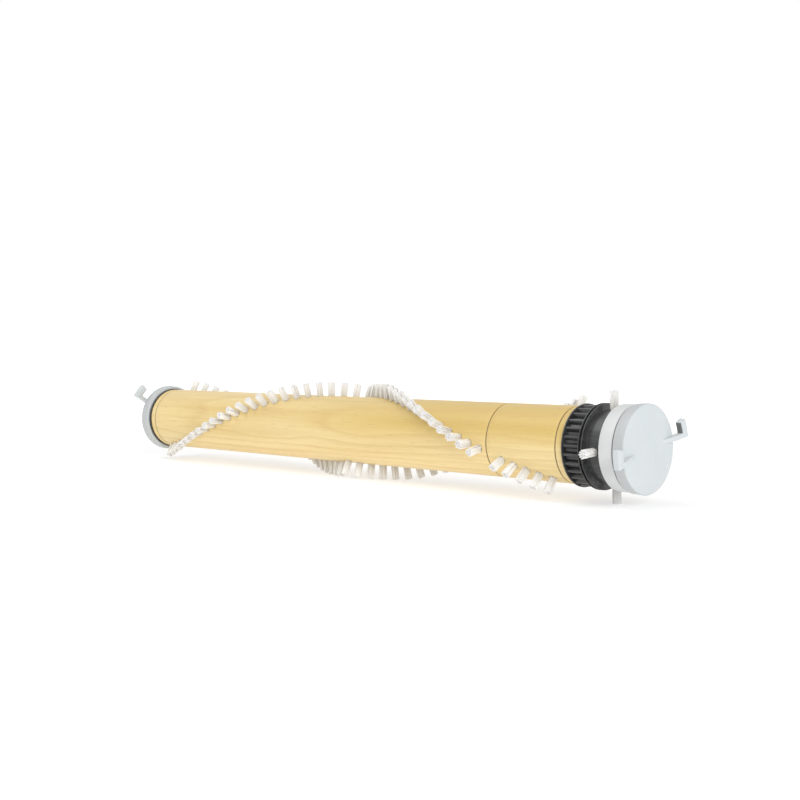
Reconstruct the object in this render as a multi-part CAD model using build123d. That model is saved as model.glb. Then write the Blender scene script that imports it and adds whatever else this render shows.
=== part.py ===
from build123d import *
import math
import os

# Geared brush roll for a vacuum cleaner power nozzle. Sizes in millimetres, angles in degrees.
# The roll lies along X with the pulley end at +X, Y points to the back and Z points up.
# The origin is on the axis, halfway between the outer faces of the two end cap wings.

# Wooden dowel
dowel_diameter = 28.0
dowel_length = 248.9
dowel_chamfer = 0.4
turned_line_width = 0.6
turned_line_depth = 0.5
end_line_inset = 3.3
belt_line_inset = 34.6
socket_floor_radius = 7.0

# Bristle tufts
tuft_radius = 1.5
tuft_flare = 0.25
tuft_tip_radius = 20.0
tuft_clearance = 0.05
tuft_sides = 6
row_apex_inset = 116.4
row_end_inset = 5.0
row_top_index = 3
row_step_angle = 7.75
right_row_spacing = 4.9
left_row_spacing = 5.45
row_angles = (0.0, 180.0)
skipped_hole_index = 17
anchor_length = 2.2
anchor_thickness = 0.4
anchor_height = 1.1

# Toothed pulley
tooth_count = 28
first_tooth_angle = 3.0
rim_radius = 14.5
tooth_depth = 1.5
groove_mouth_share = 0.76
groove_floor_share = 0.34
belt_width = 6.7
inner_flange_radius = 14.9
inner_flange_width = 0.5
outer_flange_radius = 15.3
outer_flange_lip = 0.4
outer_flange_step = 0.9
outer_flange_notch = 1.0
hub_radius = 12.9
hub_width = 6.45
hub_taper = 0.25
guard_seat_radius = 11.5
pulley_spigot_radius = 8.4
pulley_spigot_length = 5.0
hub_tuft_count = 4
hub_tuft_inset = 3.1
hub_tuft_angle = -4.0
hub_socket_floor = 7.5
hub_hole_radius = 0.55
hub_hole_depth = 2.0
hub_hole_inset = 0.9
hub_hole_angle = 17.0
drive_pin_radius = 1.25
drive_pin_circle = 10.6
drive_pin_reach = 7.0

# Thread guards
guard_set_in = 0.1
guard_wall = 1.8
guard_width = 5.5
guard_edge = 0.3
washer_guard_set_in = 1.1
washer_guard_width = 0.9

# End caps
cap_overhang = 0.3
cap_draft = 0.25
cap_depth = 4.5
cap_wall = 1.6
cap_rim_wall = 2.0
cap_edge = 0.3
boss_wall = 2.0
boss_gap = 0.4
wing_height = 2.35
wing_rib_width = 1.7
wing_rib_start = 7.5
lug_inner_radius = 18.8
lug_outer_radius = 21.8
lug_low_angle = -3.0
lug_high_angle = 15.0
right_cap_angle = 12.0
left_cap_angle = -34.0

# Axles and plain bearings
axle_radius = 3.0
axle_chamfer = 0.4
axle_end_gap = 0.4
axle_in_dowel = 26.0
clip_width = 0.6
clip_inset = 0.4
clip_depth = 0.5
clip_radius = 4.5
clip_opening_angle = 60.0
bush_outer_radius = 5.0
bush_length = 4.8
thrust_washer_width = 0.5
thrust_washer_radius = 4.6
felt_width = 2.4

# Clearances
press_gap = 0.03
glue_gap = 0.05
bearing_gap = 0.05
side_gap = 0.3
running_gap = 0.3
recess_gap = 1.0

# Worked out from the sizes above
dowel_radius = dowel_diameter / 2
right_row_count = int((row_apex_inset - row_end_inset) / right_row_spacing) + 1
left_row_count = int((dowel_length - row_apex_inset - row_end_inset) / left_row_spacing)
guard_radius = outer_flange_radius - guard_set_in
cap_rim_radius = guard_radius + cap_overhang
cap_face_radius = cap_rim_radius + cap_draft
washer_guard_radius = cap_rim_radius - washer_guard_set_in
outer_flange_width = 2 * outer_flange_lip + outer_flange_step
pulley_width = inner_flange_width + belt_width + outer_flange_width + hub_taper + hub_width
left_stack = wing_height + cap_depth + running_gap + washer_guard_width
right_stack = pulley_width + guard_width + running_gap + cap_depth + wing_height
half_length = (left_stack + dowel_length + right_stack) / 2
cap_face_x = half_length - wing_height
dowel_left = left_stack - half_length
dowel_right = dowel_left + dowel_length
guard_left = dowel_right + pulley_width
boss_radius = bush_outer_radius + boss_wall
recess_radius = boss_radius + recess_gap

# Depths below the outer face of an end cap
axle_end = cap_wall + axle_end_gap
clip_start = axle_end + clip_inset
bush_start = clip_start + clip_width + side_gap
bush_end = bush_start + bush_length
seat_depth = bush_end + side_gap + thrust_washer_width
boss_end = seat_depth - boss_gap
left_recess_depth = seat_depth - (left_stack - wing_height)
pulley_face_x = cap_face_x - seat_depth
left_seat_x = dowel_left + left_recess_depth


def turned(*points):
    """A solid turned about X from (x, radius) points."""
    return revolve(make_face(Polyline(*points, close=True)), axis=Axis.X)


def sleeve(x1, x2, inner, outer):
    return turned((x1, inner), (x2, inner), (x2, outer), (x1, outer))


def at_end(shape, side, turn=0.0):
    """Put a shape made for the right end, with the cap face at x = 0, at either end of the roll."""
    faced = shape if side > 0 else mirror(shape, about=Plane.YZ)
    return Pos(side * cap_face_x, 0, 0) * Rot(turn, 0, 0) * faced


def at_hole(shape, x, angle):
    """Put a shape made along Z at a place on the roll; angle 0 is the front and 90 is the top."""
    return Pos(x, 0, 0) * Rot(90 - angle, 0, 0) * shape


def hole_places():
    """The drilled holes of the four half rows, as (row, half, x, angle)."""
    apex = dowel_right - row_apex_inset
    places = []
    for row, row_angle in enumerate(row_angles):
        for i in range(right_row_count):
            if i != skipped_hole_index:
                angle = 90 + row_angle + (row_top_index - i) * row_step_angle
                places.append((row, "right", apex + i * right_row_spacing, angle))
        for i in range(1, left_row_count + 1):
            angle = 90 + row_angle + (row_top_index - i) * row_step_angle
            places.append((row, "left", apex - i * left_row_spacing, angle))
    return places


def hub_places():
    x = guard_left - hub_tuft_inset
    return [(x, hub_tuft_angle + k * 360 / hub_tuft_count) for k in range(hub_tuft_count)]


def socket(floor, top):
    return extrude(Pos(0, 0, floor) * RegularPolygon(tuft_radius, tuft_sides), top - floor)


def tuft(floor, surface, tip):
    """A bundle of bristles, narrow at the root and spread a little at the tip."""
    root = floor + anchor_height + tuft_clearance
    neck = tuft_radius - tuft_clearance
    slope = tuft_flare / (tip - surface)
    spread = math.degrees(math.atan(slope * math.cos(math.pi / tuft_sides)))
    base = RegularPolygon(neck - slope * (surface - root), tuft_sides)
    return Pos(0, 0, root) * extrude(base, tip - root, taper=-spread)


def anchor(floor):
    middle = floor + anchor_height / 2
    return Pos(0, 0, middle) * Box(anchor_length, anchor_thickness, anchor_height - tuft_clearance)


def pin_places():
    """The two drive pins stand a quarter turn away from the last tufts of the rows."""
    last = 90 + (row_top_index - right_row_count + 1) * row_step_angle
    return [(dowel_right, last + 90), (dowel_right, last + 270)]


def pin_shape(radius, reach):
    return Pos(0, 0, drive_pin_circle) * Rot(0, 90, 0) * Cylinder(radius, 2 * reach)


def pin_holes():
    hole = pin_shape(drive_pin_radius + glue_gap, drive_pin_reach + side_gap)
    return [at_hole(hole, *p) for p in pin_places()]


def line_points(x):
    """A fine turned line in the dowel, as points of its outline."""
    half = turned_line_width / 2
    return [(x - half, dowel_radius), (x, dowel_radius - turned_line_depth), (x + half, dowel_radius)]


def wooden_dowel():
    edge = dowel_radius - dowel_chamfer
    bore = axle_radius + press_gap
    spigot_hole = pulley_spigot_radius + glue_gap
    spigot_floor = dowel_right - pulley_spigot_length - side_gap
    right_floor = dowel_right - axle_in_dowel - side_gap
    left_floor = left_seat_x + axle_in_dowel + side_gap
    outline = [(dowel_left, recess_radius), (dowel_left, edge), (dowel_left + dowel_chamfer, dowel_radius)]
    outline += line_points(dowel_left + end_line_inset)
    outline += line_points(dowel_right - belt_line_inset)
    outline += line_points(dowel_right - end_line_inset)
    outline += [(dowel_right - dowel_chamfer, dowel_radius), (dowel_right, edge), (dowel_right, spigot_hole)]
    outline += [(spigot_floor, spigot_hole), (spigot_floor, bore), (right_floor, bore), (right_floor, 0)]
    outline += [(left_floor, 0), (left_floor, bore), (left_seat_x, bore), (left_seat_x, recess_radius)]
    hole = socket(socket_floor_radius, 2 * dowel_radius - socket_floor_radius)
    cuts = [at_hole(hole, x, angle) for row, half, x, angle in hole_places()]
    return turned(*outline) - cuts - pin_holes()


def tuft_row(row, half):
    one = tuft(socket_floor_radius, dowel_radius, tuft_tip_radius)
    return Compound([at_hole(one, x, a) for r, h, x, a in hole_places() if r == row and h == half])


def tuft_anchors():
    dowel_anchor = anchor(socket_floor_radius)
    hub_anchor = anchor(hub_socket_floor)
    pieces = [at_hole(dowel_anchor, x, angle) for row, half, x, angle in hole_places()]
    return Compound(pieces + [at_hole(hub_anchor, *p) for p in hub_places()])


def hub_tufts():
    one = tuft(hub_socket_floor, hub_radius, tuft_tip_radius)
    return Compound([at_hole(one, *p) for p in hub_places()])


def toothed_rim(x):
    """The toothed ring of the pulley, cut with straight belt grooves."""
    root = rim_radius - tooth_depth
    step = 360 / tooth_count
    mouth = groove_mouth_share
    floor = groove_floor_share
    shares = ((-mouth, rim_radius), (-floor, root), (floor, root), (mouth, rim_radius))
    points = []
    for i in range(tooth_count):
        for share, radius in shares:
            angle = math.radians(270 - first_tooth_angle + (i + (1 + share) / 2) * step)
            points.append((radius * math.cos(angle), radius * math.sin(angle)))
    face = make_face(Polyline(*points, close=True))
    return Pos(x, 0, 0) * Rot(0, 90, 0) * extrude(face, belt_width)


def drive_pulley():
    x = dowel_right
    rim = x + inner_flange_width
    flange = rim + belt_width
    notch = flange + outer_flange_lip
    lip = notch + outer_flange_step
    face = lip + outer_flange_lip
    low = outer_flange_radius - outer_flange_notch
    bore = axle_radius + press_gap
    core = hub_radius - tooth_depth
    outline = [(x - pulley_spigot_length, bore), (x - pulley_spigot_length, pulley_spigot_radius)]
    outline += [(x, pulley_spigot_radius), (x, inner_flange_radius), (rim, inner_flange_radius), (rim, core)]
    outline += [(flange, core), (flange, outer_flange_radius), (notch, outer_flange_radius), (notch, low)]
    outline += [(lip, low), (lip, outer_flange_radius), (face, outer_flange_radius)]
    outline += [(face + hub_taper, hub_radius), (guard_left, hub_radius), (guard_left, guard_seat_radius)]
    outline += [(pulley_face_x, guard_seat_radius), (pulley_face_x, bore)]
    body = turned(*outline) + (toothed_rim(rim) - sleeve(rim, flange, 0.0, core - tooth_depth))
    cuts = [at_hole(socket(hub_socket_floor, 2 * hub_radius - hub_socket_floor), *p) for p in hub_places()]
    small = Pos(0, 0, hub_radius) * Cylinder(hub_hole_radius, 2 * hub_hole_depth)
    cuts.append(at_hole(small, guard_left - hub_hole_inset, hub_hole_angle))
    return body - cuts - pin_holes()


def drive_pins():
    return Compound([at_hole(pin_shape(drive_pin_radius, drive_pin_reach), *p) for p in pin_places()])


def right_thread_guard():
    web = pulley_face_x
    inner = guard_seat_radius + glue_gap
    skirt = guard_radius - guard_wall
    end = guard_left + guard_width
    edge = guard_radius - guard_edge
    outline = [(guard_left, inner), (guard_left, edge), (guard_left + guard_edge, guard_radius)]
    outline += [(end - guard_edge, guard_radius), (end, edge), (end, skirt), (web, skirt), (web, inner)]
    return turned(*outline)


def left_thread_guard():
    return sleeve(dowel_left - washer_guard_width, dowel_left, recess_radius, washer_guard_radius)


def wing():
    """One L-shaped wing: a straight rib with a curved lug across its end."""
    rib_length = lug_inner_radius + lug_outer_radius
    rib_end = rib_length / 2
    rib = Pos((wing_rib_start + rib_end) / 2, 0) * Rectangle(rib_end - wing_rib_start, wing_rib_width)
    ring = Circle(lug_outer_radius) - Circle(lug_inner_radius)
    low = math.radians(lug_low_angle)
    high = math.radians(lug_high_angle)
    reach = 2 * lug_outer_radius
    first = (reach * math.cos(low), reach * math.sin(low))
    last = (reach * math.cos(high), reach * math.sin(high))
    sector = make_face(Polyline((0, 0), first, last, close=True))
    return rib + (ring & sector)


def end_cap(side, turn):
    rim_inner = cap_rim_radius - cap_rim_wall
    outline = [(0, 0), (0, cap_face_radius - cap_edge), (-cap_edge, cap_face_radius)]
    outline += [(-cap_depth, cap_rim_radius), (-cap_depth, rim_inner), (-cap_wall, rim_inner)]
    outline += [(-cap_wall, boss_radius), (-boss_end, boss_radius), (-boss_end, bush_outer_radius)]
    outline += [(-cap_wall, bush_outer_radius), (-cap_wall, 0)]
    half = Plane.YZ * wing()
    wings = extrude(half, wing_height) + extrude(mirror(half, about=Plane.XZ), wing_height)
    return at_end(turned(*outline) + wings, side, turn)


def bearing_bush(side):
    bore = axle_radius + bearing_gap
    return at_end(sleeve(-bush_end, -bush_start, bore, bush_outer_radius - press_gap), side)


def felt_ring(side):
    outer = cap_rim_radius - cap_rim_wall - glue_gap
    return at_end(sleeve(-cap_wall - felt_width, -cap_wall, boss_radius + glue_gap, outer), side)


def thrust_washer(side):
    end = thrust_washer_width - seat_depth
    return at_end(sleeve(-seat_depth, end, axle_radius + glue_gap, thrust_washer_radius), side)


def axle_clip(side):
    """A spring clip in the axle groove, open on one side."""
    groove = axle_radius - clip_depth + press_gap
    ring = sleeve(-clip_start - clip_width, -clip_start, groove, clip_radius)
    reach = 2 * clip_radius
    spread = reach * math.tan(math.radians(clip_opening_angle / 2))
    gap = make_face(Polyline((0, 0), (reach, spread), (reach, -spread), close=True))
    wedge = Pos(-clip_start - 2 * clip_width, 0, 0) * extrude(Plane.YZ * gap, 3 * clip_width)
    return at_end(ring - wedge, side)


def stub_axle(side, inner_end):
    """An axle pin from its clip end to a depth below the cap face."""
    groove = axle_radius - clip_depth
    low = -clip_start - clip_width - press_gap
    high = press_gap - clip_start
    tip = axle_chamfer / 2
    outline = [(-inner_end, 0), (-inner_end, axle_radius - axle_chamfer)]
    outline.append((axle_chamfer - inner_end, axle_radius))
    outline += [(low, axle_radius), (low, groove), (high, groove), (high, axle_radius)]
    outline += [(-axle_end - tip, axle_radius), (-axle_end, axle_radius - tip), (-axle_end, 0)]
    return at_end(turned(*outline), side)


os.makedirs("parts", exist_ok=True)
export_step(wooden_dowel(), "parts/wooden_dowel.step")
for row in range(len(row_angles)):
    export_step(tuft_row(row, "left"), f"parts/bristle_row_{row + 1}_left.step")
    export_step(tuft_row(row, "right"), f"parts/bristle_row_{row + 1}_right.step")
export_step(tuft_anchors(), "parts/tuft_anchors.step")
export_step(drive_pulley(), "parts/drive_pulley.step")
export_step(hub_tufts(), "parts/hub_tufts.step")
export_step(drive_pins(), "parts/drive_pins.step")
export_step(right_thread_guard(), "parts/right_thread_guard.step")
export_step(left_thread_guard(), "parts/left_thread_guard.step")
export_step(stub_axle(1, cap_face_x - dowel_right + axle_in_dowel), "parts/right_axle.step")
export_step(stub_axle(-1, seat_depth + axle_in_dowel), "parts/left_axle.step")
export_step(end_cap(1, right_cap_angle), "parts/right_end_cap.step")
export_step(end_cap(-1, left_cap_angle), "parts/left_end_cap.step")
for side, name in ((1, "right"), (-1, "left")):
    export_step(bearing_bush(side), f"parts/{name}_bush.step")
    export_step(felt_ring(side), f"parts/{name}_felt_ring.step")
    export_step(thrust_washer(side), f"parts/{name}_thrust_washer.step")
    export_step(axle_clip(side), f"parts/{name}_axle_clip.step")
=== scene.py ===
import math
import random

import bmesh
import bpy
from mathutils import Matrix, Vector


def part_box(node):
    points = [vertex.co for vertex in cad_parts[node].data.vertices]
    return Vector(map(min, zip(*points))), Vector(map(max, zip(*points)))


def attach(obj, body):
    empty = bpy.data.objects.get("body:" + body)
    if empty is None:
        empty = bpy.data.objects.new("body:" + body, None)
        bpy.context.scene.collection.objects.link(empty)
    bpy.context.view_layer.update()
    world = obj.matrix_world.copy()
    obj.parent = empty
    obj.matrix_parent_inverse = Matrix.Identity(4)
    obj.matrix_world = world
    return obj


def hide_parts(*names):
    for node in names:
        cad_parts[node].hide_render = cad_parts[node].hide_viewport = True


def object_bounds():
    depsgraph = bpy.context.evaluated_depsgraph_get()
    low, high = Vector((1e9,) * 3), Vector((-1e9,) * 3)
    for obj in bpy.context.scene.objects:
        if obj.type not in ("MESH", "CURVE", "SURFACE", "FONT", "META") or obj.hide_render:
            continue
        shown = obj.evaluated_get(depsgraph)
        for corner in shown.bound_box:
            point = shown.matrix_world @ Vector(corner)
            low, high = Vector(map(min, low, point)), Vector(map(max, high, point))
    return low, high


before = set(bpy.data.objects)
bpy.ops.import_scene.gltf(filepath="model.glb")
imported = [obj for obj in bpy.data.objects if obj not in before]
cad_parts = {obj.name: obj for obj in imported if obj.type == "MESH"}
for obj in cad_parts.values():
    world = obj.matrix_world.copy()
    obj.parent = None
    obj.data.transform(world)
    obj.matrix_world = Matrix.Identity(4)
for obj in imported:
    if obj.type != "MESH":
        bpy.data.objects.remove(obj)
cad_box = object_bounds()
chance = random.Random(27)

# Sizes of the shapes are in millimetres and angles in degrees; materials and lights work in metres.
# The roll lies along X with the pulley at +X. Angles round it run from the front (0) to the top (90).


def along(node):
    """The first and last X of a CAD node."""
    low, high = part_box(node)
    return low.x * 1000, high.x * 1000


dowel_left, dowel_right = along("wooden_dowel")
guard_left, guard_right = along("right_thread_guard")
washer_left, washer_right = along("left_thread_guard")

# Wooden dowel
dowel_radius = 14.0
dowel_chamfer = 0.4
line_half_width = 0.3
line_depth = 0.5
end_line_inset = 3.3
belt_line_inset = 34.6
axle_bore = 3.03
axle_hole_depth = 26.3
recess_radius = 8.0
recess_depth = 2.8
spigot_hole_radius = 8.45
spigot_hole_depth = 5.3

# Tufts
tuft_hole_radius = 1.52
tuft_hole_floor = 7.0
tuft_hole_top = 15.0
tuft_root = 8.2
tuft_tip = 20.0
row_apex = dowel_right - 116.4
row_top = 3
row_step = 7.75
row_count = 23
right_spacing = 4.9
left_spacing = 5.45
skipped_hole = 17
bristle_count = 46
bristle_foot_radius = 0.215
bristle_tip_radius = 0.205
foot_spread = 1.26
tip_spread = 1.46
golden_angle = 2.39996

# Toothed pulley
spigot_radius = 8.4
spigot_length = 5.0
inner_flange_radius = 14.9
inner_flange_width = 0.5
belt_width = 6.7
rim_radius = 14.5
tooth_depth = 1.5
tooth_count = 28
first_tooth = 3.0
tooth_foot_width = 2.24
tooth_crest_share = 0.35
flange_radius = 15.3
flange_lip = 0.4
flange_gap = 0.9
flange_notch = 1.0
hub_taper = 0.25
hub_radius = 12.9
hub_tuft_inset = 3.1
hub_tuft_root = 8.7
hub_hole_floor = 7.5
first_hub_tuft = -4
small_hole_radius = 0.55
small_hole_reach = 2.0
small_hole_inset = 0.9
small_hole_angle = 17

# Thread guards
guard_seat_radius = 11.5
guard_bore = 11.55
guard_web = 1.4
guard_skirt_radius = 13.4
guard_radius = 15.2
washer_radius = 14.4

# End caps
wing_height = 2.35
cap_face = along("right_end_cap")[1] - wing_height
cap_edge = 0.3
cap_depth = 4.5
cap_wall = 1.6
cap_bore = 13.5
cap_rim_radius = 15.5
cap_face_radius = 15.75
boss_radius = 7.0
boss_depth = 8.5
bush_radius = 5.0
lug_inner_radius = 18.8
lug_outer_radius = 21.8
rib_start = 7.5
rib_end = 20.3
rib_width = 1.7
rib_slope = 8.5
rib_sunk = 0.5
rib_drop = 0.06


# Mesh tools

def at_hole(x, angle):
    """Takes a shape made along Z to its place round the roll."""
    return Matrix.Translation((x, 0, 0)) @ Matrix.Rotation(math.radians(90 - angle), 4, "X")


def turned(points, steps, finer=()):
    """A body turned about X from (x, radius) points, each (edge, cuts) of finer splitting an edge of its outline.

    An outline that leaves the axis is closed on itself.
    """
    bm = bmesh.new()
    ring = [bm.verts.new((x, 0, r)) for x, r in points]
    pairs = list(zip(ring, ring[1:]))
    if min(r for x, r in points) > 0:
        pairs.append((ring[-1], ring[0]))
    edges = [bm.edges.new(pair) for pair in pairs]
    for k, cuts in finer:
        bmesh.ops.subdivide_edges(bm, edges=[edges[k]], cuts=cuts)
    bmesh.ops.spin(bm, geom=bm.verts[:] + bm.edges[:], cent=(0, 0, 0), axis=(1, 0, 0),
                   angle=2 * math.pi, steps=steps, use_merge=True)
    bmesh.ops.remove_doubles(bm, verts=bm.verts[:], dist=0.0005)
    bmesh.ops.recalc_face_normals(bm, faces=bm.faces[:])
    return bm


def rounded(bm, edges, width, segments):
    bmesh.ops.bevel(bm, geom=edges, offset=width, offset_type="OFFSET", segments=segments, profile=0.5,
                    affect="EDGES", clamp_overlap=True, material=-1)


def soften(bm, width, segments=2, angle=40, where=None):
    """Rounds the sharp edges."""
    bm.normal_update()
    limit = math.radians(angle)
    sharp = [e for e in bm.edges if len(e.link_faces) == 2 and e.calc_face_angle(0.0) > limit]
    if where:
        sharp = [e for e in sharp if where(e)]
    rounded(bm, sharp, width, segments)


def add(bm, other):
    """Puts one mesh into another and frees it."""
    mesh = bpy.data.meshes.new("joined")
    other.to_mesh(mesh)
    other.free()
    bm.from_mesh(mesh)
    bpy.data.meshes.remove(mesh)


def to_metres(bm):
    bmesh.ops.scale(bm, vec=(0.001, 0.001, 0.001), verts=bm.verts[:])


def solid(name, bm, material, smooth=35):
    """A finished object, in metres, with smooth faces between its sharp edges."""
    to_metres(bm)
    mesh = bpy.data.meshes.new(name)
    bm.to_mesh(mesh)
    bm.free()
    mesh.materials.append(material)
    mesh.shade_smooth()
    mesh.set_sharp_from_angle(angle=math.radians(smooth))
    piece = bpy.data.objects.new(name, mesh)
    bpy.context.scene.collection.objects.link(piece)
    return piece


def drill_bit(cutters, place, radius, floor, top, segments=20):
    """Adds a round cutter that stands at a place of the roll, from one distance off the axis to another."""
    middle = Matrix.Translation((0, 0, (floor + top) / 2))
    bmesh.ops.create_cone(cutters, cap_ends=True, segments=segments, radius1=radius, radius2=radius,
                          depth=top - floor, matrix=at_hole(*place) @ middle)


def drill(piece, cutter):
    """Cuts the shapes of one object out of another."""
    holes = piece.modifiers.new("holes", "BOOLEAN")
    holes.operation = "DIFFERENCE"
    holes.solver = "EXACT"
    holes.object = cutter
    bpy.context.view_layer.update()
    cut = bpy.data.meshes.new_from_object(piece.evaluated_get(bpy.context.evaluated_depsgraph_get()))
    piece.modifiers.clear()
    piece.data = cut
    bpy.data.objects.remove(cutter)
    cut.set_sharp_from_angle(angle=math.radians(35))


def fit(piece, body, node):
    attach(piece, body)
    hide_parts(node)


# Materials

class Nodes:
    """Short-hands for building a node tree."""

    def __init__(self, tree):
        self.tree = tree

    def put(self, socket, value):
        if isinstance(value, bpy.types.NodeSocket):
            self.tree.links.new(value, socket)
        else:
            socket.default_value = value

    def node(self, kind, **inputs):
        made = self.tree.nodes.new("ShaderNode" + kind)
        for key, value in inputs.items():
            self.put(made.inputs[key.replace("_", " ")], value)
        return made

    def fed(self, made, *values):
        for socket, value in zip(made.inputs, values):
            self.put(socket, value)
        return made.outputs[0]

    def math(self, operation, *values):
        made = self.node("Math")
        made.operation = operation
        return self.fed(made, *values)

    def length(self, vector):
        made = self.node("VectorMath")
        made.operation = "LENGTH"
        self.put(made.inputs[0], vector)
        return made.outputs["Value"]

    def range(self, value, low, high, to_low=0.0, to_high=1.0):
        made = self.node("MapRange", Value=value, From_Min=low, From_Max=high, To_Min=to_low, To_Max=to_high)
        return made.outputs["Result"]

    def looked_at(self):
        """1 on rays of the camera and on those that a shiny or a clear piece shows, and otherwise 0."""
        ray = self.node("LightPath").outputs
        shown = self.math("MAXIMUM", ray["Is Glossy Ray"], ray["Is Transmission Ray"])
        return self.math("MAXIMUM", ray["Is Camera Ray"], shown)


class Finish(Nodes):
    """A material of the roll, on object coordinates."""

    def __init__(self, name):
        self.material = bpy.data.materials.new(name)
        self.material.use_nodes = True
        super().__init__(self.material.node_tree)
        self.shader = self.tree.nodes["Principled BSDF"]
        self.place = self.node("TexCoord").outputs["Object"]

    def mapped(self, scale, location=(0, 0, 0)):
        return self.node("Mapping", Vector=self.place, Location=location, Scale=scale).outputs["Vector"]

    def noise(self, stretch, detail=3.0, roughness=0.5):
        vector = self.mapped(stretch)
        made = self.node("TexNoise", Vector=vector, Scale=1.0, Detail=detail, Roughness=roughness)
        return made.outputs["Fac"]

    def from_line(self, y=0.0, z=0.0):
        """The distance from a line along the roll, which is its axis unless another is given."""
        return self.length(self.mapped((0, 1, 1), location=(0, -y, -z)))

    def from_section(self, x=0.0):
        """The distance from a section across the roll."""
        return self.length(self.mapped((1, 0, 0), location=(-x, 0, 0)))

    def mix(self, amount, first, second):
        made = self.node("Mix")
        made.data_type = "RGBA"
        self.put(made.inputs["Factor"], amount)
        self.put(made.inputs[6], first)
        self.put(made.inputs[7], second)
        return made.outputs[2]

    def ramp(self, value, *stops):
        made = self.node("ValToRGB", Fac=value)
        marks = made.color_ramp.elements
        while len(marks) < len(stops):
            marks.new(0.5)
        for mark, (position, grey) in zip(marks, stops):
            mark.position = position
            mark.color = (grey, grey, grey, 1)
        return made.outputs["Color"]

    def bump(self, height, strength, distance):
        made = self.node("Bump", Height=height, Strength=strength, Distance=distance)
        self.put(self.shader.inputs["Normal"], made.outputs["Normal"])

    def set(self, **inputs):
        for key, value in inputs.items():
            self.put(self.shader.inputs[key.replace("_", " ")], value)
        return self.material


def lacquered_maple():
    """Pale hardwood under clear lacquer, with growth rings, long grain, short flecks and burnt-in turned lines."""
    pale, warm = (0.94, 0.75, 0.375, 1), (0.86, 0.645, 0.265, 1)
    shaded_top_colour = (0.70, 0.495, 0.135, 1)
    late_wood = (0.66, 0.44, 0.145, 1)
    grain_brown = (0.70, 0.48, 0.18, 1)
    fleck_brown = (0.47, 0.29, 0.10, 1)
    burnt = (0.13, 0.075, 0.025, 1)
    f = Finish("lacquered_maple")
    from_pith = f.from_line(0.036, -0.026)
    sway = f.noise((6, 34, 34), 2.0)
    years = f.math("ADD", f.math("MULTIPLY", from_pith, 330.0), f.math("MULTIPLY", sway, 6.5))
    rings = f.ramp(f.math("FRACT", years), (0.0, 0.1), (0.55, 0.2), (0.86, 1.0), (1.0, 0.1))
    grain = f.noise((11, 520, 520), 6.0, 0.62)
    fleck = f.noise((150, 1900, 1900), 2.0)
    broad = f.noise((8, 70, 70), 2.0)
    colour = f.mix(f.range(broad, 0.35, 0.65), pale, warm)
    spot = f.node("SeparateXYZ", Vector=f.place)
    # Painted shade: the upper half of the dowel turns darker and more golden, more so toward the pulley end.
    shaded_top = f.range(f.math("ADD", spot.outputs["Z"], f.math("MULTIPLY", sway, 0.008)), 0.004, 0.011)
    shaded_top = f.math("MULTIPLY", shaded_top, f.range(spot.outputs["X"], -0.06, 0.05, 0.12, 0.95))
    colour = f.mix(shaded_top, colour, shaded_top_colour)
    colour = f.mix(f.math("MULTIPLY", rings, 0.34), colour, late_wood)
    colour = f.mix(f.range(grain, 0.42, 0.72, 0.0, 0.36), colour, grain_brown)
    colour = f.mix(f.range(fleck, 0.60, 0.70, 0.0, 0.20), colour, fleck_brown)
    depth = f.range(f.from_line(), 0.01370, 0.01398, 1.0, 0.0)
    off_the_ends = f.range(f.from_section((dowel_left + dowel_right) / 2000), 0.1234, 0.1236, 1.0, 0.0)
    colour = f.mix(f.math("MULTIPLY", depth, off_the_ends), colour, burnt)
    f.bump(f.math("ADD", grain, f.math("MULTIPLY", fleck, 0.5)), 0.12, 0.00008)
    rough = f.range(grain, 0.3, 0.7, 0.36, 0.50)
    return f.set(Base_Color=colour, Roughness=rough, Coat_Weight=0.22, Coat_Roughness=0.32)


def nylon_bristle():
    """White nylon, with painted shade that turns it greyer down in the bundle than at the cut tips."""
    f = Finish("nylon_bristle")
    # Painted shade: the bristles darken toward their roots, down in the bundle.
    height = f.range(f.from_line(), 0.0138, 0.0185)
    strand = f.noise((1900, 1900, 1900), 1.0)
    colour = f.mix(height, (0.80, 0.77, 0.71, 1), (0.98, 0.975, 0.965, 1))
    colour = f.mix(f.range(strand, 0.46, 0.68, 0.0, 0.20), colour, (0.80, 0.78, 0.74, 1))
    f.bump(strand, 0.1, 0.00004)
    return f.set(Base_Color=colour, Roughness=0.42, Subsurface_Weight=0.08,
                 Subsurface_Radius=(0.0008, 0.0008, 0.0007), Subsurface_Scale=1.0)


def moulded_black():
    """Moulded black plastic with a satin skin, fine turning marks and pale scuffs."""
    f = Finish("moulded_black")
    skin = f.noise((2600, 2600, 2600))
    marks = f.noise((5200, 40, 40))
    scuff = f.noise((90, 420, 420), 4.0, 0.6)
    scuffed = f.range(scuff, 0.50, 0.78, 0.0, 0.45)
    colour = f.mix(scuffed, (0.017, 0.0175, 0.018, 1), (0.11, 0.112, 0.115, 1))
    f.bump(f.math("ADD", skin, f.math("MULTIPLY", marks, 0.8)), 0.16, 0.00004)
    rough = f.range(skin, 0.3, 0.7, 0.26, 0.40)
    return f.set(Base_Color=colour, Roughness=rough, Specular_IOR_Level=0.75)


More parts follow.
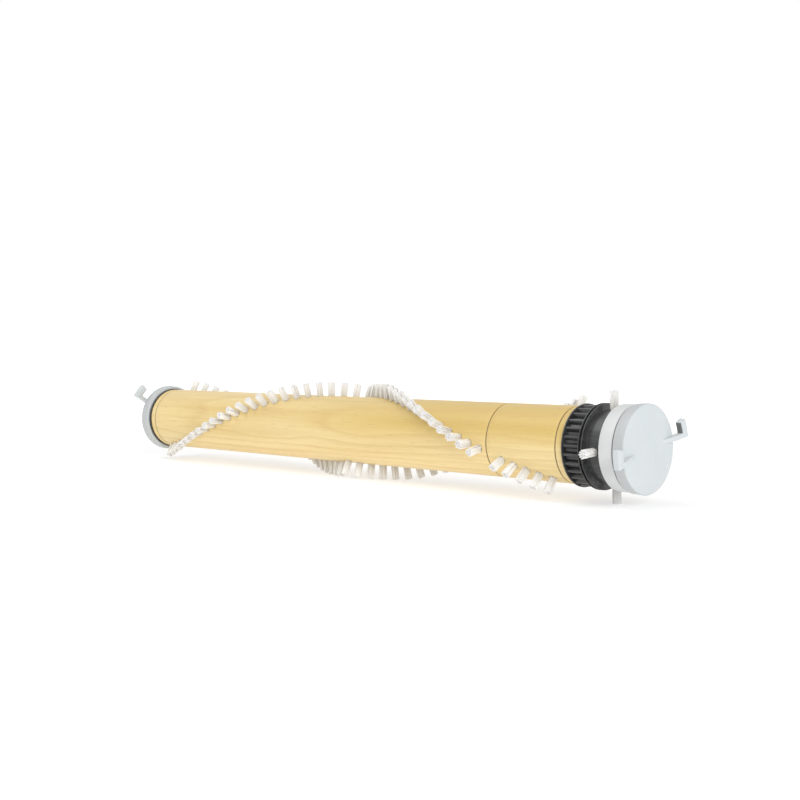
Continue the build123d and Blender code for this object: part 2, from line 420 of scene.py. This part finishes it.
def moulded_grey(name, pale, dull, shade_starts, shade_full):
    """Moulded pale grey plastic with flow marks, specks of dust and painted shade on the cap rim.

    Painted shade lies beside the right running gap, growing from the X where it starts to the one where it is
    full.
    """
    dust = (0.34, 0.35, 0.35, 1)
    rim_shade = (0.47, 0.475, 0.465, 1)
    gap_shade = (0.12, 0.12, 0.115, 1)
    f = Finish(name)
    flow = f.noise((60, 110, 110))
    skin = f.noise((3000, 3000, 3000))
    speck = f.noise((1300, 1300, 1300), 1.0)
    colour = f.mix(f.range(flow, 0.3, 0.7), pale, dull)
    colour = f.mix(f.range(speck, 0.70, 0.80, 0.0, 0.35), colour, dust)
    # Painted shade: the side of the cap rim is darker than its face.
    rim = f.range(f.from_line(), 0.01528, 0.01542, 0.0, 0.55)
    below_face = f.range(f.from_section(), (cap_face - 0.25) / 1000, (cap_face - 0.10) / 1000, 1.0, 0.0)
    colour = f.mix(f.math("MULTIPLY", rim, below_face), colour, rim_shade)
    along_roll = f.node("SeparateXYZ", Vector=f.place).outputs["X"]
    # Painted shade: darkening beside the right running gap, where shade falls.
    gap_shade_amount = f.range(along_roll, shade_starts / 1000, shade_full / 1000, 0.0, 0.85)
    right_end = f.range(along_roll, 0.10, 0.11)
    colour = f.mix(f.math("MULTIPLY", gap_shade_amount, right_end), colour, gap_shade)
    f.bump(skin, 0.14, 0.00004)
    return f.set(Base_Color=colour, Roughness=f.range(skin, 0.3, 0.7, 0.38, 0.52))


def lug_shade_finish():
    """Dark grey plastic sheets on the inner sides of the lugs: painted shade where those faces lie in shade."""
    f = Finish("painted_lug_shade_grey")
    skin = f.noise((2600, 2600, 2600))
    colour = f.mix(skin, (0.13, 0.133, 0.135, 1), (0.20, 0.203, 0.205, 1))
    f.bump(skin, 0.14, 0.00004)
    return f.set(Base_Color=colour, Roughness=0.55)


def ground_steel():
    f = Finish("ground_steel")
    lines = f.noise((3200, 260, 260))
    colour = f.mix(lines, (0.52, 0.52, 0.53, 1), (0.70, 0.70, 0.71, 1))
    f.bump(lines, 0.1, 0.00003)
    return f.set(Base_Color=colour, Metallic=1.0, Roughness=f.range(lines, 0.3, 0.7, 0.22, 0.38))


def sintered_bronze():
    f = Finish("sintered_bronze")
    pores = f.noise((1700, 1700, 1700), 4.0)
    colour = f.mix(pores, (0.42, 0.25, 0.11, 1), (0.66, 0.44, 0.23, 1))
    f.bump(pores, 0.3, 0.00006)
    return f.set(Base_Color=colour, Metallic=1.0, Roughness=f.range(pores, 0.3, 0.7, 0.35, 0.6))


def pressed_felt():
    f = Finish("pressed_felt")
    hair = f.noise((1500, 1500, 1500), 6.0, 0.7)
    colour = f.mix(hair, (0.17, 0.17, 0.165, 1), (0.36, 0.355, 0.34, 1))
    f.bump(hair, 0.8, 0.0002)
    return f.set(Base_Color=colour, Roughness=0.95, Sheen_Weight=0.3)


maple = lacquered_maple()
bristle = nylon_bristle()
black = moulded_black()
cap_grey = moulded_grey("moulded_cap_grey", (0.665, 0.705, 0.72, 1), (0.63, 0.675, 0.695, 1),
                        guard_right + 0.50, guard_right + 0.36)
guard_grey = moulded_grey("moulded_guard_grey", (0.72, 0.735, 0.73, 1), (0.67, 0.69, 0.69, 1),
                          guard_right - 0.22, guard_right - 0.06)
# Painted shade for the inner sides of the lugs.
lug_shade_grey = lug_shade_finish()
steel = ground_steel()
bronze = sintered_bronze()
felt = pressed_felt()


# Places of the tufts

def row_places(row, half):
    """The (x, angle) of each tuft of a half row."""
    turn = 90 + 180 * row
    if half == "right":
        steps = [(i, i * right_spacing) for i in range(row_count) if i != skipped_hole]
    else:
        steps = [(i, -i * left_spacing) for i in range(1, row_count + 1)]
    return [(row_apex + x, turn + (row_top - i) * row_step) for i, x in steps]


half_rows = [(row, half) for row in range(2) for half in ("left", "right")]
hub_places = [(guard_left - hub_tuft_inset, first_hub_tuft + 90 * k) for k in range(4)]


# Wooden dowel

def turned_line(x):
    low = dowel_radius - line_depth
    return [(x - line_half_width, dowel_radius), (x, low), (x + line_half_width, dowel_radius)]


def wooden_dowel():
    edge = dowel_radius - dowel_chamfer
    left_seat = dowel_left + recess_depth
    left_end = left_seat + axle_hole_depth
    right_end = dowel_right - axle_hole_depth
    right_seat = dowel_right - spigot_hole_depth
    profile = [(left_end, 0), (left_end, axle_bore), (left_seat, axle_bore), (left_seat, recess_radius)]
    profile += [(dowel_left, recess_radius), (dowel_left, edge), (dowel_left + dowel_chamfer, dowel_radius)]
    profile += turned_line(dowel_left + end_line_inset)
    long_face = len(profile) - 1
    profile += turned_line(dowel_right - belt_line_inset)
    short_face = len(profile) - 1
    profile += turned_line(dowel_right - end_line_inset)
    profile += [(dowel_right - dowel_chamfer, dowel_radius), (dowel_right, edge)]
    profile += [(dowel_right, spigot_hole_radius), (right_seat, spigot_hole_radius)]
    profile += [(right_seat, axle_bore), (right_end, axle_bore), (right_end, 0)]
    bm = turned(profile, 176, finer=((long_face, 84), (short_face, 11)))
    soften(bm, 0.12, 2, 30, lambda e: all(v.co.yz.length > 13 for v in e.verts))
    piece = solid("turned_dowel", bm, maple)
    cutters = bmesh.new()
    for row, half in half_rows:
        for place in row_places(row, half):
            drill_bit(cutters, place, tuft_hole_radius, tuft_hole_floor, tuft_hole_top)
    drill(piece, solid("drilled_holes", cutters, maple))
    fit(piece, "roller", "wooden_dowel")


# Bristle tufts

def bundle(root, tip):
    """One tuft: straight bristles packed in a round hole, spreading a little to their cut ends."""
    bm = bmesh.new()
    for k in range(bristle_count):
        off = math.sqrt((k + 0.5) / bristle_count) * foot_spread
        turn = k * golden_angle + chance.uniform(-0.15, 0.15)
        foot = Vector((math.cos(turn) * off, math.sin(turn) * off, root))
        stray = 0.16 if chance.random() < 0.85 else 0.30
        head = foot * (tip_spread / foot_spread)
        head.x += chance.uniform(-stray, stray)
        head.y += chance.uniform(-stray, stray)
        head.z = tip - abs(chance.gauss(0, 0.16)) - 0.02
        way = head - foot
        place = Matrix.Translation((foot + head) / 2) @ way.to_track_quat("Z", "Y").to_matrix().to_4x4()
        bmesh.ops.create_cone(bm, cap_ends=True, segments=6, radius1=bristle_foot_radius,
                              radius2=bristle_tip_radius, depth=way.length, matrix=place)
    mesh = bpy.data.meshes.new("bundle")
    bm.to_mesh(mesh)
    bm.free()
    return mesh


def brush(name, bundles, places, node):
    """Sets a tuft at each place, each with a turn of its own."""
    bm = bmesh.new()
    for place in places:
        start = len(bm.verts)
        bm.from_mesh(chance.choice(bundles))
        bm.verts.ensure_lookup_table()
        twist = Matrix.Rotation(chance.uniform(0, 2 * math.pi), 4, "Z")
        bmesh.ops.transform(bm, matrix=at_hole(*place) @ twist, verts=bm.verts[start:])
    fit(solid(name, bm, bristle, 50), "roller", node)


def bristle_rows():
    bundles = [bundle(tuft_root, tuft_tip) for k in range(7)]
    for row, half in half_rows:
        node = f"bristle_row_{row + 1}_{half}"
        brush(f"tufts_of_row_{row + 1}_{half}", bundles, row_places(row, half), node)
    bundles = [bundle(hub_tuft_root, tuft_tip) for k in range(4)]
    brush("tufts_of_the_hub", bundles, hub_places, "hub_tufts")


# Toothed pulley

def belt_teeth(first, width):
    """Straight belt teeth with rounded crests, one copied round the rim."""
    bm = bmesh.new()
    height = tooth_depth + 0.4
    bmesh.ops.create_cube(bm, size=1.0)
    bmesh.ops.scale(bm, vec=(width, tooth_foot_width, height), verts=bm.verts[:])
    crest = [v for v in bm.verts if v.co.z > 0]
    bmesh.ops.scale(bm, vec=(1, tooth_crest_share, 1), verts=crest)
    bmesh.ops.translate(bm, vec=(first + width / 2, 0, rim_radius - height / 2), verts=bm.verts[:])
    bm.normal_update()
    ridge = [e for e in bm.edges if e.verts[0] in crest and e.verts[1] in crest]
    rounded(bm, [e for e in ridge if abs(e.verts[0].co.x - e.verts[1].co.x) > 1], 0.20, 3)
    turn = Matrix.Rotation(math.radians(90 - first_tooth), 4, "X")
    bmesh.ops.transform(bm, matrix=turn, verts=bm.verts[:])
    copies = tooth_count - 1
    bmesh.ops.spin(bm, geom=bm.verts[:] + bm.edges[:] + bm.faces[:], cent=(0, 0, 0), axis=(1, 0, 0),
                   angle=2 * math.pi * copies / tooth_count, steps=copies, use_duplicate=True)
    bmesh.ops.recalc_face_normals(bm, faces=bm.faces[:])
    return bm


def drive_pulley():
    x = dowel_right
    rim = x + inner_flange_width
    flange = rim + belt_width
    gap = flange + flange_lip
    lip = gap + flange_gap
    face = lip + flange_lip
    root = rim_radius - tooth_depth
    low = flange_radius - flange_notch
    back = guard_left + guard_web
    profile = [(x - spigot_length, axle_bore), (x - spigot_length, spigot_radius), (x, spigot_radius)]
    profile += [(x, inner_flange_radius), (rim, inner_flange_radius), (rim, root), (flange, root)]
    profile += [(flange, flange_radius), (gap, flange_radius), (gap, low), (lip, low)]
    profile += [(lip, flange_radius), (face, flange_radius), (face + hub_taper, hub_radius)]
    hub_face = len(profile) - 1
    profile += [(guard_left, hub_radius), (guard_left, guard_seat_radius)]
    profile += [(back, guard_seat_radius), (back, axle_bore)]
    bm = turned(profile, 144, finer=((hub_face, 5),))
    soften(bm, 0.11, 2)
    piece = solid("belt_pulley", bm, black)
    cutters = bmesh.new()
    for place in hub_places:
        drill_bit(cutters, place, tuft_hole_radius, hub_hole_floor, tuft_hole_top)
    drill_bit(cutters, (guard_left - small_hole_inset, small_hole_angle), small_hole_radius,
              hub_radius - small_hole_reach, hub_radius + small_hole_reach, segments=16)
    drill(piece, solid("hub_holes", cutters, black))
    bm = belt_teeth(rim - 0.1, belt_width + 0.2)
    to_metres(bm)
    bm.from_mesh(piece.data)
    bm.to_mesh(piece.data)
    bm.free()
    piece.data.shade_smooth()
    piece.data.set_sharp_from_angle(angle=math.radians(35))
    fit(piece, "roller", "drive_pulley")


# Thread guards

def thread_guards():
    web = guard_left + guard_web
    bm = turned([(guard_left, guard_bore), (guard_left, guard_radius), (guard_right, guard_radius),
                 (guard_right, guard_skirt_radius), (web, guard_skirt_radius), (web, guard_bore)], 144)
    soften(bm, 0.28, 3)
    fit(solid("grey_thread_guard", bm, guard_grey), "roller", "right_thread_guard")
    bm = turned([(washer_left, recess_radius), (washer_left, washer_radius),
                 (washer_right, washer_radius), (washer_right, recess_radius)], 144)
    soften(bm, 0.15, 2)
    fit(solid("black_thread_guard", bm, black), "roller", "left_thread_guard")


# End caps

def curved_bar(inner, outer, start, sweep, steps, foot, top):
    """A bar bent round the axis, between two radii and two values of X."""
    bm = bmesh.new()
    turn = math.radians(start)
    ends = [bm.verts.new((foot, r * math.cos(turn), r * math.sin(turn))) for r in (inner, outer)]
    edge = bm.edges.new(ends)
    bmesh.ops.spin(bm, geom=ends + [edge], cent=(0, 0, 0), axis=(1, 0, 0), angle=math.radians(sweep), steps=steps)
    lifted = bmesh.ops.extrude_face_region(bm, geom=bm.faces[:])
    raised = [v for v in lifted["geom"] if isinstance(v, bmesh.types.BMVert)]
    bmesh.ops.translate(bm, vec=(top - foot, 0, 0), verts=raised)
    bmesh.ops.recalc_face_normals(bm, faces=bm.faces[:])
    return bm


def wing():
    """A rib that slopes up from the face at x = 0, and the curved lug across its end."""
    lug = curved_bar(lug_inner_radius, lug_outer_radius, -3, 18, 10, 0.0, wing_height)
    soften(lug, 0.22, 3)
    rib_top = wing_height - rib_drop
    rib_middle = (rib_start + rib_end) / 2
    rib = bmesh.new()
    bmesh.ops.create_cube(rib, size=1.0)
    bmesh.ops.scale(rib, vec=(rib_top + rib_sunk, rib_end - rib_start, rib_width), verts=rib.verts[:])
    bmesh.ops.translate(rib, vec=((rib_top - rib_sunk) / 2, rib_middle, 0), verts=rib.verts[:])
    crest = [v for v in rib.verts if v.co.x > 0 and v.co.y < rib_middle]
    bmesh.ops.translate(rib, vec=(0, rib_slope, 0), verts=crest)
    soften(rib, 0.22, 3)
    add(lug, rib)
    return lug


def lug_shade_shape():
    """A thin dark sheet on the inner side of a lug: painted shade, as that face lies in shade."""
    bm = curved_bar(lug_inner_radius - 0.12, lug_inner_radius + 0.1, 2.6, 11.8, 8, 0.1, wing_height - 0.2)
    soften(bm, 0.05, 2)
    return bm


def pair(half):
    """A shape on one wing and its mirror image on the other."""
    bm = bmesh.new()
    for flip in (1, -1):
        copy = half()
        bmesh.ops.scale(copy, vec=(1, flip, 1), verts=copy.verts[:])
        add(bm, copy)
    return bm


def at_end(bm, side, turn):
    """Takes a shape made on the face at x = 0 to its end of the roll."""
    place = Matrix.Translation((side * cap_face, 0, 0)) @ Matrix.Rotation(math.radians(turn), 4, "X")
    bmesh.ops.transform(bm, matrix=place @ Matrix.Diagonal((side, 1, 1, 1)), verts=bm.verts[:])
    bmesh.ops.recalc_face_normals(bm, faces=bm.faces[:])


def end_cap(end, side, turn, body, node):
    profile = [(0, 0), (0, cap_face_radius - cap_edge), (-cap_edge, cap_face_radius)]
    profile += [(-cap_depth, cap_rim_radius), (-cap_depth, cap_bore), (-cap_wall, cap_bore)]
    profile += [(-cap_wall, boss_radius), (-boss_depth, boss_radius), (-boss_depth, bush_radius)]
    profile += [(-cap_wall, bush_radius), (-cap_wall, 0)]
    bm = turned(profile, 144)
    soften(bm, 0.25, 3, 30)
    add(bm, pair(wing))
    at_end(bm, side, turn)
    fit(solid(f"{end}_winged_cap", bm, cap_grey), body, node)
    # Painted shade: dark sheets laid on the inner sides of the lugs.
    bm = pair(lug_shade_shape)
    at_end(bm, side, turn)
    shade_sheets = solid(f"{end}_lug_facings", bm, lug_shade_grey)
    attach(shade_sheets, body)


wooden_dowel()
bristle_rows()
drive_pulley()
thread_guards()
end_cap("right", 1, 12.0, "right_cap", "right_end_cap")
end_cap("left", -1, -34.0, "left_cap", "left_end_cap")

# Inner pieces keep their CAD shapes and get their finishes.
for node, material in (
    ("tuft_anchors", steel), ("drive_pins", steel), ("right_axle", steel), ("left_axle", steel),
    ("right_thrust_washer", steel), ("left_thrust_washer", steel), ("right_axle_clip", steel),
    ("left_axle_clip", steel), ("right_bush", bronze), ("left_bush", bronze),
    ("right_felt_ring", felt), ("left_felt_ring", felt),
):
    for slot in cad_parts[node].material_slots:
        slot.material = material


# Floor, light and camera

def floor_finish():
    """White paper: it shows as the white ground and keeps a faint shadow."""
    material = bpy.data.materials.new("white_paper")
    material.use_nodes = True
    nodes = Nodes(material.node_tree)
    nodes.tree.nodes.clear()
    paper = nodes.node("BsdfDiffuse", Color=(0.90, 0.90, 0.90, 1))
    bounce = nodes.node("Emission", Strength=0.28)
    shade = nodes.node("BsdfDiffuse", Color=(0.50, 0.50, 0.50, 1))
    away = nodes.length(nodes.node("TexCoord").outputs["Object"])
    glow = nodes.node("Emission", Strength=nodes.range(away, 0.20, 0.55, 0.62, 1.0))
    lighting = nodes.fed(nodes.node("AddShader"), paper.outputs[0], bounce.outputs[0])
    shown = nodes.fed(nodes.node("AddShader"), shade.outputs[0], glow.outputs[0])
    choice = nodes.fed(nodes.node("MixShader"), nodes.looked_at(), lighting, shown)
    nodes.node("OutputMaterial", Surface=choice)
    return material


def floor():
    bm = bmesh.new()
    bmesh.ops.create_grid(bm, x_segments=1, y_segments=1, size=6.0)
    bmesh.ops.translate(bm, vec=(0, 0, cad_box[0].z), verts=bm.verts[:])
    mesh = bpy.data.meshes.new("paper_floor")
    bm.to_mesh(mesh)
    bm.free()
    mesh.materials.append(floor_finish())
    ground = bpy.data.objects.new("paper_floor", mesh)
    bpy.context.scene.collection.objects.link(ground)


def sky(strength):
    """White all round: full white where it is seen, softer where it lights the roll."""
    world = bpy.data.worlds.new("white_room")
    bpy.context.scene.world = world
    world.use_nodes = True
    nodes = Nodes(world.node_tree)
    nodes.tree.nodes.clear()
    level = nodes.range(nodes.looked_at(), 0.0, 1.0, strength, 1.0)
    white = nodes.node("Background", Color=(1.0, 1.0, 1.0, 1), Strength=level)
    nodes.node("OutputWorld", Surface=white.outputs[0])


def softbox(name, place, aim, size, power):
    lamp = bpy.data.lights.new(name, "AREA")
    lamp.shape = "SQUARE"
    lamp.size = size
    lamp.energy = power
    box = bpy.data.objects.new(name, lamp)
    box.location = place
    box.rotation_euler = (Vector(aim) - Vector(place)).to_track_quat("-Z", "Y").to_euler()
    bpy.context.scene.collection.objects.link(box)


def photo_camera(place, tilt, swing):
    lens = bpy.data.cameras.new("photo_camera")
    lens.lens = 53.37
    lens.sensor_width = 36.0
    lens.sensor_fit = "HORIZONTAL"
    lens.clip_start = 0.01
    camera = bpy.data.objects.new("photo_camera", lens)
    camera.location = place
    camera.rotation_euler = (math.radians(90 - tilt), 0, math.radians(swing))
    bpy.context.scene.collection.objects.link(camera)
    bpy.context.scene.camera = camera


floor()
sky(0.46)
softbox("key_softbox", (1.70, -0.80, 0.80), (0.05, 0, 0), 1.0, 18.0)
softbox("top_softbox", (-0.3, -0.35, 1.0), (0, 0, 0), 0.9, 4.0)
bpy.context.scene.view_settings.view_transform = "Standard"
photo_camera((0.27933 + (dowel_right - belt_line_inset) / 1000, -0.34706, 0.03371), 2.41, 44.12)
